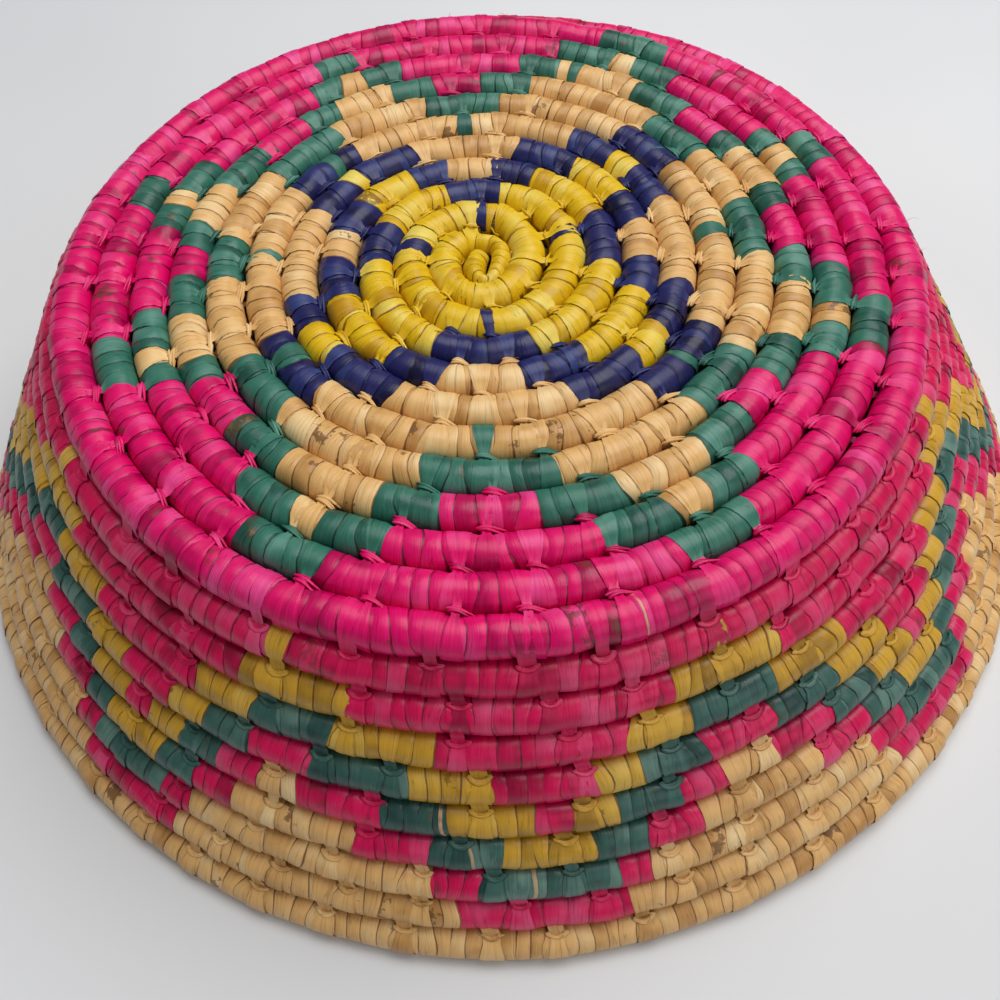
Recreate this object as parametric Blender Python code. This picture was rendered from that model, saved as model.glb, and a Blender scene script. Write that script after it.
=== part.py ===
# Coiled straw basket bowl, stored upside down: base up, open side down, standing on its rim.
# A grass bundle spirals out from the middle of the base, turns down the wall and ends at the rim.
# Each turn of the bundle wears its own wrap of leaf strip. Metres, +Z up, rim on z = 0.
import bpy
import bmesh
import numpy as np
from math import asin, cos, sin, pi, radians
from mathutils import Vector

# Sizes
BUNDLE_DIAMETER = 0.00535      # the grass, over the corners of its section
FIT_GAP = 0.00035              # bundle to wrap
WRAP_THICKNESS = 0.00110       # two or three layers of strip
BASE_WRAP_EXTRA = 0.00030      # how much wider the base rows' wraps are than the wall's
CORNER_WRAP_EXTRA = 0.00010    # the same for the row that turns down
BASE_ROW_GAP = 0.00045         # from one base row's wrap to the next
WALL_ROW_GAP = 0.00060         # the same on the wall
START_RADIUS = 0.00482         # middle of the bundle where the coil begins
OVAL_CLOSER = 0.00025          # how much closer the first rows lie in front of and behind the middle
BASE_ROWS = 11
WALL_ROWS = 9                  # the last of them is the rim
WALL_LEAN = radians(57.5)      # fall of the wall below level
RIM_SHIFT = (0.0036, 0.0007)   # how far the hand-made rim sits off the middle of the base
END_GAP = 0.00030              # between the wraps of one turn and the next
TAIL_TIP_DIAMETER = 0.00100    # the end of the rim row

# Counts and shares
STATIONS_PER_TURN = 24
SECTION_SIDES = 6
RAMP_STATIONS = 2              # each side of the hand-over, where a level row drops to the next
HAND_OVER = radians(70)        # azimuth where one row becomes the next, back right
BEND_START_SHARE = 0.92        # of the base rows, where the coil begins to turn down
BEND_END_SHARE = 1.00
OVAL_FRONT_ROWS = 7.6          # rows over which the coil turns from oval to round, in front
OVAL_BACK_ROWS = 4.0           # the same behind the middle

# The start of the coil, a thin hook curled up inside the first row: x and y from the middle in
# shares of the start radius, and thickness in shares of the base wrap's diameter
HOOK_SHARES = (
    (0.75, 0.66, 0.60),
    (0.93, 0.19, 0.42),
    (0.91, -0.46, 0.39),
    (0.58, -0.95, 0.38),
    (0.17, -1.14, 0.37),
    (-0.19, -0.83, 0.37),
    (-0.19, -0.39, 0.34),
    (-0.10, -0.21, 0.24),
)
HOOK_FIRST_SHARE = 0.96        # its thickness where it meets the first row

# Worked out
STATION_STEP = 2 * pi / STATIONS_PER_TURN
RAMP_HALF = RAMP_STATIONS * STATION_STEP
ALL_ROWS = BASE_ROWS + WALL_ROWS
RIM_INDEX = ALL_ROWS - 0.5     # the rim row's place along the coil, counted in rows
BORE_DIAMETER = BUNDLE_DIAMETER + 2 * FIT_GAP
WALL_WRAP_DIAMETER = BORE_DIAMETER + 2 * WRAP_THICKNESS
BASE_WRAP_DIAMETER = WALL_WRAP_DIAMETER + BASE_WRAP_EXTRA
CORNER_WRAP_DIAMETER = WALL_WRAP_DIAMETER + CORNER_WRAP_EXTRA
ROW_PITCH = BASE_WRAP_DIAMETER + BASE_ROW_GAP
WALL_PITCH = WALL_WRAP_DIAMETER + WALL_ROW_GAP

# Wrap colours, linear RGB
YELLOW = (0.62, 0.42, 0.03)
NAVY = (0.03, 0.03, 0.13)
NATURAL = (0.62, 0.40, 0.17)
GREEN = (0.03, 0.15, 0.11)
MAGENTA = (0.60, 0.01, 0.16)
GOLD = (0.42, 0.24, 0.03)
GRASS = (0.42, 0.32, 0.15)
INNER_COLOURS = (YELLOW, YELLOW, NAVY, NATURAL, NATURAL, NATURAL)
OUTER_COLOURS = (NATURAL, GREEN, MAGENTA, MAGENTA, MAGENTA)
BASE_COLOURS = INNER_COLOURS + OUTER_COLOURS
WALL_COLOURS = (MAGENTA, GOLD, MAGENTA, GOLD, GREEN, MAGENTA, NATURAL, NATURAL, NATURAL)


def clear_scene():
    for old in list(bpy.context.scene.objects):
        bpy.data.objects.remove(old, do_unlink=True)


def smooth(share):
    share = min(max(share, 0.0), 1.0)
    return share * share * (3 - 2 * share)


def bend_share(index):
    """How much of the wall's lean has come in at a place along the coil, counted in rows."""
    start = BASE_ROWS * BEND_START_SHARE
    end = BASE_ROWS * BEND_END_SHARE
    return smooth((index - start) / (end - start))


def radius_and_drop(index):
    """Middle of the bundle: each row lies one pitch out and down from the row before it."""
    out = 0.0
    drop = 0.0
    share = bend_share(index - 0.5)
    while share > 0:
        pitch = ROW_PITCH + (WALL_PITCH - ROW_PITCH) * share
        out += pitch * cos(WALL_LEAN * share)
        drop += pitch * sin(WALL_LEAN * share)
        index -= 1
        share = bend_share(index - 0.5)
    return START_RADIUS + ROW_PITCH * index + out, drop


def facet_turn(index):
    """Turn of the section. A sixth of a turn by the rim keeps flats level on base and rim."""
    return 2 * pi / SECTION_SIDES * bend_share(index - 0.5)


def ramp(angle):
    return smooth(0.5 + 0.5 * angle / RAMP_HALF)


def ramp_angle(share):
    """The angle at which the ramp has come to a share."""
    return -2 * RAMP_HALF * sin(asin(1 - 2 * share) / 3)


def coil_index(row, azimuth):
    """Place along the coil at an azimuth of a row, counted in rows. The base is a true spiral.
    Down the wall the rows come level and drop to the next one near the hand-over."""
    spiral = 0.5 + (azimuth - HAND_OVER) / (2 * pi)
    level = ramp(azimuth - HAND_OVER) + ramp(azimuth - HAND_OVER + 2 * pi) - 1
    share = max(row - BASE_ROWS, 0) / WALL_ROWS
    return row - 0.5 + spiral * (1 - share) + level * share


def flat_of(diameter):
    """From the middle of a section to its flat."""
    return diameter / 2 * cos(pi / SECTION_SIDES)


BASE_MIDDLE_Z = radius_and_drop(RIM_INDEX)[1] + flat_of(WALL_WRAP_DIAMETER)


def oval_shift(index, azimuth):
    """How far the first rows are drawn out to the front and back."""
    rows = OVAL_BACK_ROWS if sin(azimuth) > 0 else OVAL_FRONT_ROWS
    return OVAL_CLOSER * max(rows - index, 0) * sin(azimuth) * abs(sin(azimuth))


def middle_point(index, azimuth):
    """Middle of the bundle in a frame centred on the rim."""
    radius, drop = radius_and_drop(index)
    share = (index - BASE_ROWS) / (RIM_INDEX - BASE_ROWS)
    left = 1 - min(max(share, 0.0), 1.0)
    x = radius * cos(azimuth) - RIM_SHIFT[0] * left
    y = radius * sin(azimuth) - RIM_SHIFT[1] * left + oval_shift(index, azimuth)
    return Vector((x, y, BASE_MIDDLE_Z - drop))


def section(middle, index, azimuth, diameter):
    """Corners of the six-sided section, with corners towards the neighbouring rows."""
    outward = Vector((cos(azimuth), sin(azimuth), 0))
    down = Vector((0, 0, -1))
    corners = []
    for side in range(SECTION_SIDES):
        angle = facet_turn(index) + 2 * pi * side / SECTION_SIDES
        corners.append(middle + diameter / 2 * (cos(angle) * outward + sin(angle) * down))
    return corners


def row_azimuths():
    return [HAND_OVER - 2 * pi + STATION_STEP * i for i in range(STATIONS_PER_TURN + 1)]


def row_rings(row, diameter, azimuths):
    rings = []
    for azimuth in azimuths:
        index = coil_index(row, azimuth)
        rings.append(section(middle_point(index, azimuth), index, azimuth, diameter))
    return rings


def trimmed(rings, length):
    """The rings with the first one moved along towards the second by a length."""
    ahead = sum((b - a).length for a, b in zip(rings[0], rings[1])) / SECTION_SIDES
    moved = [a.lerp(b, length / ahead) for a, b in zip(rings[0], rings[1])]
    return [moved] + rings[1:]


def trimmed_both(rings, length):
    return trimmed(trimmed(rings, length)[::-1], length)[::-1]


def add_tube(mesh, rings):
    """A tube wall through the rings. Gives back its first and last loop of corners."""
    loops = [[mesh.verts.new(corner) for corner in ring] for ring in rings]
    for near, far in zip(loops, loops[1:]):
        for side in range(SECTION_SIDES):
            after = (side + 1) % SECTION_SIDES
            mesh.faces.new((near[side], near[after], far[after], far[side]))
    return loops[0], loops[-1]


def add_end_ring(mesh, outer, inner):
    for side in range(SECTION_SIDES):
        after = (side + 1) % SECTION_SIDES
        mesh.faces.new((outer[side], outer[after], inner[after], inner[side]))


def make_object(mesh, name, colour):
    bmesh.ops.recalc_face_normals(mesh, faces=mesh.faces)
    data = bpy.data.meshes.new(name)
    mesh.to_mesh(data)
    mesh.free()
    data.shade_smooth()
    data.set_sharp_from_angle(angle=pi / SECTION_SIDES)
    material = bpy.data.materials.new(name + "_material")
    material.use_nodes = True
    shader = material.node_tree.nodes["Principled BSDF"]
    shader.inputs["Base Color"].default_value = (*colour, 1)
    shader.inputs["Roughness"].default_value = 0.5
    shader.inputs["Metallic"].default_value = 0
    data.materials.append(material)
    piece = bpy.data.objects.new(name, data)
    bpy.context.scene.collection.objects.link(piece)


def wrap_diameter(row):
    if row < BASE_ROWS:
        return BASE_WRAP_DIAMETER
    return CORNER_WRAP_DIAMETER if row == BASE_ROWS else WALL_WRAP_DIAMETER


def make_row(row, name, colour):
    """The wrap of one turn: a six-sided sleeve with both ends open."""
    mesh = bmesh.new()
    outer = row_rings(row, wrap_diameter(row), row_azimuths())
    bore = row_rings(row, BORE_DIAMETER, row_azimuths())
    outer_start, outer_end = add_tube(mesh, trimmed_both(outer, END_GAP / 2))
    bore_start, bore_end = add_tube(mesh, trimmed_both(bore, END_GAP / 2))
    add_end_ring(mesh, outer_start, bore_start)
    add_end_ring(mesh, outer_end, bore_end)
    make_object(mesh, name, colour)


def make_hook(name, colour):
    """The tip of the bundle in its wrap, ahead of the first row."""
    middle = Vector((-RIM_SHIFT[0], -RIM_SHIFT[1], BASE_MIDDLE_Z))
    back = Vector((sin(HAND_OVER), -cos(HAND_OVER), 0))
    middles = [middle_point(0, HAND_OVER) + END_GAP * back]
    middles += [middle + START_RADIUS * Vector((x, y, 0)) for x, y, _ in HOOK_SHARES]
    diameters = [HOOK_FIRST_SHARE * BASE_WRAP_DIAMETER]
    diameters += [share * BASE_WRAP_DIAMETER for _, _, share in HOOK_SHARES]
    ways = [back] + [after - before for before, after in zip(middles, middles[2:])]
    ways.append(middles[-1] - middles[-2])
    rings = []
    for point, way, diameter in zip(middles, ways, diameters):
        across = way.cross(Vector((0, 0, 1))).normalized()
        corners = []
        for side in range(SECTION_SIDES):
            angle = 2 * pi * side / SECTION_SIDES
            corners.append(point + diameter / 2 * (cos(angle) * across + Vector((0, 0, sin(angle)))))
        rings.append(corners)
    mesh = bmesh.new()
    first, last = add_tube(mesh, rings)
    mesh.faces.new(first)
    mesh.faces.new(last)
    make_object(mesh, name, colour)


def filled_azimuths(row):
    """Stations of a row that hold the grass bundle: the rim row's last few have its tail."""
    azimuths = row_azimuths()
    return azimuths[:-RAMP_STATIONS] if row == ALL_ROWS else azimuths


def tail_rings():
    """Sections of the rim row's thinning end. Each keeps its lower flat on the floor and is as
    thick as the row that comes down over it leaves room for."""
    rings = []
    tip_share = 1 - (TAIL_TIP_DIAMETER + END_GAP) / WALL_PITCH
    for turned in (-STATION_STEP, 0, ramp_angle(tip_share)):
        azimuth = HAND_OVER + turned
        if turned <= 0:
            above = coil_index(ALL_ROWS - 1, azimuth)
        else:
            above = coil_index(ALL_ROWS, azimuth - 2 * pi)
        room = (RIM_INDEX - above) * WALL_PITCH - END_GAP
        diameter = min(room, WALL_WRAP_DIAMETER)
        index = RIM_INDEX + (WALL_WRAP_DIAMETER - diameter) / 2 / WALL_PITCH
        middle = middle_point(index, azimuth)
        middle.z = flat_of(diameter)
        rings.append(section(middle, index, azimuth, diameter))
    return rings


def make_rim_row(name, colour):
    """The last row: a sleeve as far as the bundle goes, then a solid tail."""
    mesh = bmesh.new()
    azimuths = filled_azimuths(ALL_ROWS)
    outer = trimmed(row_rings(ALL_ROWS, WALL_WRAP_DIAMETER, azimuths), END_GAP / 2) + tail_rings()
    bore = trimmed(row_rings(ALL_ROWS, BORE_DIAMETER, azimuths), END_GAP / 2)
    outer_start, outer_end = add_tube(mesh, outer)
    bore_start, bore_end = add_tube(mesh, bore)
    add_end_ring(mesh, outer_start, bore_start)
    mesh.faces.new(outer_end)
    mesh.faces.new(bore_end)
    make_object(mesh, name, colour)


def bundle_rings():
    """Every section of the bundle. Rows share the station where one hands over to the next."""
    rings = row_rings(1, BUNDLE_DIAMETER, filled_azimuths(1)[:1])
    for row in range(1, ALL_ROWS + 1):
        rings += row_rings(row, BUNDLE_DIAMETER, filled_azimuths(row)[1:])
    return rings


def make_bundle(name, colour):
    """The grass bundle: one unbroken tube through all the wraps."""
    mesh = bmesh.new()
    start, end = add_tube(mesh, trimmed_both(bundle_rings(), END_GAP))
    mesh.faces.new(start)
    mesh.faces.new(end)
    make_object(mesh, name, colour)


def print_least_gap():
    """Least gap of the bundle to itself, between middles half a turn or more apart. Straight
    stretches between stations run closer than the stations lie, by the cosine of half a step."""
    middles = np.array([sum(ring, Vector()) / SECTION_SIDES for ring in bundle_rings()])
    apart = np.linalg.norm(middles[:, None] - middles[None], axis=2) * cos(STATION_STEP / 2)
    order = np.arange(len(middles))
    separate = np.abs(order[:, None] - order[None]) >= STATIONS_PER_TURN / 2
    gap = apart[separate].min() - BUNDLE_DIAMETER
    print("least gap of the grass bundle to itself: %.2f mm" % (gap * 1000))


def main():
    clear_scene()
    make_bundle("foundation_coil", GRASS)
    make_hook("coil_start", YELLOW)
    for row, colour in enumerate(BASE_COLOURS, 1):
        make_row(row, "base_row_%02d" % row, colour)
    for row, colour in enumerate(WALL_COLOURS[:-1], 1):
        make_row(BASE_ROWS + row, "wall_row_%02d" % row, colour)
    make_rim_row("rim_row", WALL_COLOURS[-1])
    print_least_gap()


main()
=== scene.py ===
# Coiled straw basket bowl, upside down on its rim: leaf strip wound over one long grass bundle,
# each row tied to the row before by small knots in the valley between them.
import bpy
import numpy as np
from math import cos, pi, radians, sin
from mathutils import Matrix, Vector


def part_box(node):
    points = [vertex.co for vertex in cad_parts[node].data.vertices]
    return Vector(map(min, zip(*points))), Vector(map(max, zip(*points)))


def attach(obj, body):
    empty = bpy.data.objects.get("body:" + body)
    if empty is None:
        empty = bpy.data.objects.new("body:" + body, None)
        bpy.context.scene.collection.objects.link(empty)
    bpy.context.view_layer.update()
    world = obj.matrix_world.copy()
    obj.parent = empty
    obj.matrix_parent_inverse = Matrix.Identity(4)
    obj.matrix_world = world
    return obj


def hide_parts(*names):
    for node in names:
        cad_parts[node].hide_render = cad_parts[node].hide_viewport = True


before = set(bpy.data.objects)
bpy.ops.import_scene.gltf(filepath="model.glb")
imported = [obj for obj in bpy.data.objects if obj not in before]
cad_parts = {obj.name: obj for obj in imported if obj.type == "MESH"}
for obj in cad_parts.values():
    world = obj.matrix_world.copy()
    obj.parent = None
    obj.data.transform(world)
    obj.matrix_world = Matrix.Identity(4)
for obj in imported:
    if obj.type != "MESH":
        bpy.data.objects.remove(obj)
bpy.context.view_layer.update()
scene = bpy.context.scene
mm = 0.001
turn = 2 * pi

# The coil's route, with the same sizes as the CAD rows.
coil = {
    "rowPitch": 9.0 * mm,
    "wallPitch": 8.85 * mm,
    "startRadius": 4.82 * mm,
    "baseRows": 11,
    "wallRows": 9,
    "wallLean": radians(57.5),
    "rimShift": (3.6 * mm, 0.7 * mm),
    "handOver": radians(70),      # where one row becomes the next
    "rampHalf": radians(30),      # level rows drop to the next inside this angle
    "bendStart": 10.12,           # in rows from the start, where the base turns into the wall
    "bendEnd": 11.0,
    # the first rows are oval: places along the coil in rows, and how far they shift in millimetres
    "frontShift": ((0.5, 1.5, 2.5, 3.5, 4.5, 5.5, 7.5), (2.8, 2.7, 2.0, 1.5, 0.9, 0.4, 0)),
    "backShift": ((0, 1, 2, 3), (1.8, 1.2, 0.6, 0)),
    "leftShift": ((0.2, 0.4, 0.9, 1.6), (1.0, 1.0, 0.5, 0)),
}
allRows = coil["baseRows"] + coil["wallRows"]
rimIndex = allRows - 0.5


def smooth(share):
    share = np.clip(share, 0, 1)
    return share * share * (3 - 2 * share)


def leanAt(index):
    return coil["wallLean"] * smooth((index - coil["bendStart"]) / (coil["bendEnd"] - coil["bendStart"]))


# Radius and drop of the bundle's middle at places along the coil, counted in rows.
indexTable = np.linspace(-1, allRows + 1, 2201)
radiusTable = coil["startRadius"] + coil["rowPitch"] * indexTable
dropTable = np.zeros_like(indexTable)
for back in range(coil["wallRows"] + 2):
    lean = leanAt(indexTable - back - 0.5)
    pitch = coil["rowPitch"] + (coil["wallPitch"] - coil["rowPitch"]) * lean / coil["wallLean"]
    radiusTable += (pitch * np.cos(lean) - coil["rowPitch"]) * (lean > 0)
    dropTable += pitch * np.sin(lean)
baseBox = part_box("base_row_05")
baseMiddleZ = (baseBox[0][2] + baseBox[1][2]) / 2


def ramp(angle):
    return smooth(0.5 + 0.5 * angle / coil["rampHalf"])


def coilIndex(row, azimuth):
    spiral = 0.5 + (azimuth - coil["handOver"]) / turn
    level = ramp(azimuth - coil["handOver"]) + ramp(azimuth - coil["handOver"] + turn) - 1
    share = max(row - coil["baseRows"], 0) / coil["wallRows"]
    return np.minimum(row - 0.5 + spiral * (1 - share) + level * share, rimIndex)


def middleAt(row, azimuth):
    index = coilIndex(row, azimuth)
    radius = np.interp(index, indexTable, radiusTable)
    left = 1 - np.clip((index - coil["baseRows"]) / (rimIndex - coil["baseRows"]), 0, 1)
    across = np.sin(azimuth)
    drawn = np.where(across > 0, np.interp(index, *coil["backShift"]), np.interp(index, *coil["frontShift"]))
    x = radius * np.cos(azimuth) - coil["rimShift"][0] * left - np.interp(index, *coil["leftShift"]) * mm
    y = radius * across - coil["rimShift"][1] * left + drawn * across * np.abs(across) * mm
    z = baseMiddleZ - np.interp(index, indexTable, dropTable)
    return np.stack([x, y, z], -1), index


# Where each row runs. Hand work strays a little, and the rim row thins to a tail under its own start.
rowLook = {
    "radius": 4.44 * mm,
    "wallRadius": 4.32 * mm,
    "fullness": 0.03,             # how square a row is, as a share of its radius
    "wander": 0.17 * mm,          # how far a row strays from its route
    "swell": 0.12 * mm,           # how much its thickness varies
    "wave": 14 * mm,              # length of both
    "startRadius": 2.6 * mm,      # of the first row where it comes out of the curled start
    "startLength": 7 * mm,        # along which it grows to its full thickness
    "upWander": 0.7,              # up and down a row strays less, as a share
    "tailTip": 0.6 * mm,
    "tailEnd": 0.6,               # where the tail ends past the hand-over, as a share of its ramp
    "nextPinchAt": radians(35),   # where knots pinch a row beside the next row and beside the last
    "lastPinchAt": radians(145),
    "insidePinch": 0.7,           # how much of a pinch shows inside the bowl
    "pressed": 1.2 * mm,          # below this height the rim is pressed flat
    "steps": 1600,                # places worked out along a row
}
rows = {}


def softNoise(rng, length, wave):
    # smooth random values along a length, as a function of place
    finer = 8                     # places worked out for each value, to take the corners off
    count = int(length / wave) + 6
    values = rng.normal(0, 1, count)
    places = (np.arange(count) - 2) * wave
    fine = np.linspace(places[0], places[-1], count * finer)
    values = np.interp(fine, places, values)
    values = np.pad(values, finer // 2, mode="edge")
    values = np.convolve(values, np.ones(finer + 1) / (finer + 1), mode="valid")
    return lambda place: np.interp(place, fine, values)


def layOutRow(row):
    rng = np.random.default_rng(100 + row)
    end = coil["handOver"] + (coil["rampHalf"] * rowLook["tailEnd"] if row == allRows else 0)
    azimuths = np.linspace(coil["handOver"] - turn, end, rowLook["steps"])
    middles, index = middleAt(row, azimuths)
    steps = np.linalg.norm(np.diff(middles, axis=0), axis=1)
    along = np.concatenate([[0], np.cumsum(steps)])
    share = np.clip(index - coil["baseRows"] + 0.5, 0, 1)
    radius = rowLook["radius"] + (rowLook["wallRadius"] - rowLook["radius"]) * share
    if row == 1:
        thinner = 1 - smooth(along / rowLook["startLength"])
        radius -= (rowLook["radius"] - rowLook["startRadius"]) * thinner
    if row == allRows:
        before = azimuths < coil["handOver"]
        above = np.where(before, coilIndex(row - 1, azimuths), coilIndex(row, azimuths - turn))
        room = (rimIndex - above) * coil["wallPitch"]
        thin = np.clip(room / 2, rowLook["tailTip"], radius)
        radius = np.where(azimuths > 0, thin, radius)
    rows[row] = {"azimuths": azimuths, "along": along, "length": along[-1], "radius": radius}
    for name, amount in (("sideways", rowLook["wander"]), ("upways", rowLook["wander"] * rowLook["upWander"]),
                         ("swelling", rowLook["swell"])):
        rows[row][name] = softNoise(rng, along[-1], rowLook["wave"])(along) * amount


def alongToAzimuth(row, place):
    return np.interp(place, rows[row]["along"], rows[row]["azimuths"])


def azimuthToAlong(row, azimuth):
    return np.interp(azimuth, rows[row]["azimuths"], rows[row]["along"])


for row in range(1, allRows + 1):
    layOutRow(row)
print("rows laid out:", allRows)

# The star on the base and the zigzag round the wall. Angles in degrees from +X, seen on the base.
star = {
    "points": [-290, -242.8, -196.2, -157.9, -116.1, -59.6, -16, 23.2, 61.4],
    "valleys": [-266, -222, -181, -144, -90, -37.5, 5.5, 37, 85],
    "diagonals": [-222, -144, -37.5, 37],
    "innerPoints": [-307, -222, -144, -37.5, 41.8, 110],
    "innerAxes": {
        5: [-266, -181, -90, 5.5, 78],
        4: [-269, -187.6, -89, 7.7, 78],
        3: [-270, -190, -86, 9, 78],
        2: [-272, -188, -85, 18, 88],
        1: [-272, -188, -85, 18, 88],
    },
    "wallPeaks": [-242, -200, -150, -113, -65.5, -25, 12, 56, 118],
    "wallTroughs": [-304, -275, -221, -176, -129, -85.8, -41, -6.5, 32, 85],
}
# Each row's dyes going from a valley of the star to its point, or from a wall peak to its trough,
# and the share of the way at which each one ends. Rose and sage are the wall's magenta and green,
# from other lots of dye.
dyeSteps = {
    1: [("yellow", 1)],
    2: [("yellow", 1)],
    3: [("navy", 0.4), ("yellow", 1)],
    4: [("natural", 0.25), ("navy", 0.65), ("yellow", 1)],
    5: [("natural", 0.47), ("navy", 0.89), ("yellow", 1)],
    6: [("natural", 1)],
    7: [("green", 0.4), ("natural", 1)],
    8: [("magenta", 0.23), ("green", 0.7), ("natural", 1)],
    9: [("magenta", 0.54), ("green", 0.9), ("natural", 1)],
    10: [("magenta", 0.8), ("green", 1)],
    11: [("magenta", 1)],
    12: [("rose", 1)],
    13: [("gold", 0.3), ("rose", 1)],
    14: [("sage", 0.2), ("gold", 0.61), ("rose", 1)],
    15: [("rose", 0.18), ("sage", 0.5), ("gold", 0.8), ("rose", 1)],
    16: [("natural", 0.1), ("rose", 0.4), ("sage", 0.64), ("gold", 0.93), ("rose", 1)],
    17: [("natural", 0.3), ("rose", 0.58), ("sage", 0.81), ("gold", 1)],
    18: [("natural", 0.56), ("rose", 0.75), ("sage", 1)],
    19: [("natural", 0.67), ("rose", 1)],
    20: [("natural", 1)],
}
diagonalSteps = {6: [("green", 0.1), ("navy", 0.52), ("natural", 1)]}


def dyeAt(row, azimuth):
    angle = azimuth * 180 / pi
    if row <= 5:
        near, far = star["innerAxes"][row], star["innerPoints"]
    elif row <= coil["baseRows"]:
        near, far = star["valleys"], star["points"]
    else:
        near, far = star["wallPeaks"], star["wallTroughs"]
    places = [(place, True) for place in near] + [(place, False) for place in far]
    low = max(place for place in places if place[0] <= angle)
    high = min(place for place in places if place[0] > angle)
    share = (angle - low[0]) / (high[0] - low[0])
    if high[1] and not low[1]:
        share = 1 - share
    valley = low[0] if low[1] else high[0]
    steps = diagonalSteps.get(row, dyeSteps[row]) if valley in star["diagonals"] else dyeSteps[row]
    return next(name for name, end in steps if share <= end)


# Where the knots sit in each valley. The ones listed mark the star's valleys in the next row's dye,
# and valley 0 is the one between the curled start and the first row.
knotLook = {
    "spacing": 18.0 * mm,
    "middleSpacing": 13.5 * mm,   # near the middle of the base
    "firstGap": (0.3, 0.8),       # before the first knot, as a share of the spacing
    "gaps": (0.78, 1.25),         # between knots, as a share
    "markedRoom": 0.55,           # least room beside a marked knot, as a share
    "pinchDepth": 0.62 * mm,
    "pinchLength": 2.6 * mm,
    "pull": 0.72,                 # how far the strips beside a knot are drawn to it, as a share
    "pullLength": 4.2 * mm,
}
startKnots = (-184.5, -117, -77, -45, 6.6, 61)
markedKnots = {
    2: [(-272, "navy"), (-188, "navy"), (-85, "navy"), (18, "navy")],
    6: [(-266, "green"), (-181, "green"), (-90, "green"), (5.5, "green")],
    12: [(angle, "gold") for angle in star["wallPeaks"][:-1]],
}


def placeKnots(valley):
    rng = np.random.default_rng(300 + valley)
    inner = smooth((6 - valley) / 5)
    gap = knotLook["spacing"] - (knotLook["spacing"] - knotLook["middleSpacing"]) * inner
    places = []
    place = gap * rng.uniform(*knotLook["firstGap"])
    end = azimuthToAlong(valley + 1, coil["handOver"])
    while place < end - knotLook["firstGap"][0] * gap:
        places.append(place)
        place += gap * rng.uniform(*knotLook["gaps"])
    marked = [(azimuthToAlong(valley + 1, radians(angle)), dye) for angle, dye in markedKnots.get(valley, [])]
    room = knotLook["markedRoom"] * gap
    places = [place for place in places if all(abs(place - spot) > room for spot, _ in marked)]
    laid = [(place, None) for place in places] + marked
    return sorted((float(alongToAzimuth(valley + 1, place)), dye) for place, dye in laid)


knots = {valley: placeKnots(valley) for valley in range(1, allRows)}
knots[0] = [(radians(angle), None) for angle in startKnots]
for row, look in rows.items():
    for side, valley in (("next", row), ("last", row - 1)):
        spots = [azimuthToAlong(row, azimuth) for azimuth, _ in knots.get(valley, [])]
        look[side + "Knots"] = np.array(spots + [-1.0])
        away = np.abs(look["along"][:, None] - look[side + "Knots"]).min(1)
        look[side + "Pinch"] = np.exp(-(away / knotLook["pinchLength"]) ** 2) * knotLook["pinchDepth"]
print("knots placed:", sum(len(places) for places in knots.values()))


def skinPoint(row, azimuth, around, lift):
    # a point on a row's skin. Around is 0 where it meets the next row and half a turn where it
    # meets the row before, by way of the outside of the bowl; the other half is inside the bowl.
    look = rows[row]
    middle, index = middleAt(row, azimuth)
    nextLean, lastLean = leanAt(index + 0.5), leanAt(index - 0.5)
    around = np.mod(around, turn)
    outside = np.minimum(around, pi) / pi
    inside = np.maximum(around - pi, 0) / pi
    angle = -nextLean + outside * (pi - lastLean + nextLean) + inside * (pi + lastLean - nextLean)

    def along(name):
        return np.interp(azimuth, look["azimuths"], look[name])

    radius = along("radius")
    size = radius / rowLook["radius"]
    radius = radius * (1 + rowLook["fullness"] * np.sin(2 * around) ** 2)
    radius = radius + along("swelling") * size + lift * np.minimum(size, 1)
    for side in ("next", "last"):
        pinchAt = rowLook[side + "PinchAt"]
        shown = np.maximum(np.cos(around - pinchAt), 0) ** 3
        within = np.maximum(np.cos(around + pinchAt), 0) ** 3
        radius = radius - along(side + "Pinch") * size * (shown + rowLook["insidePinch"] * within)
    outward = radius * np.cos(angle) + along("sideways")
    upward = radius * np.sin(angle) + along("upways")
    points = np.stack([
        middle[..., 0] + outward * np.cos(azimuth),
        middle[..., 1] + outward * np.sin(azimuth),
        middle[..., 2] + upward,
    ], -1)
    low, height = rowLook["pressed"], points[..., 2]
    points[..., 2] = np.where(height < low, low * np.exp(np.minimum(height - low, 0) / low), height)
    return points


def deselectAll():
    bpy.ops.object.select_all(action="DESELECT")


def pickPoints(piece, test):
    bpy.ops.object.mode_set(mode="OBJECT")
    for vertex in piece.data.vertices:
        vertex.select = bool(test(vertex.co))
    for edge in piece.data.edges:
        edge.select = all(piece.data.vertices[corner].select for corner in edge.vertices)
    for face in piece.data.polygons:
        face.select = all(piece.data.vertices[corner].select for corner in face.vertices)
    bpy.ops.object.mode_set(mode="EDIT")


def takeTemplate(piece):
    bpy.ops.object.mode_set(mode="OBJECT")
    mesh = piece.data
    points = np.array([vertex.co for vertex in mesh.vertices])
    faces = [list(face.vertices) for face in mesh.polygons]
    bpy.data.objects.remove(piece)
    return points, faces


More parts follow.
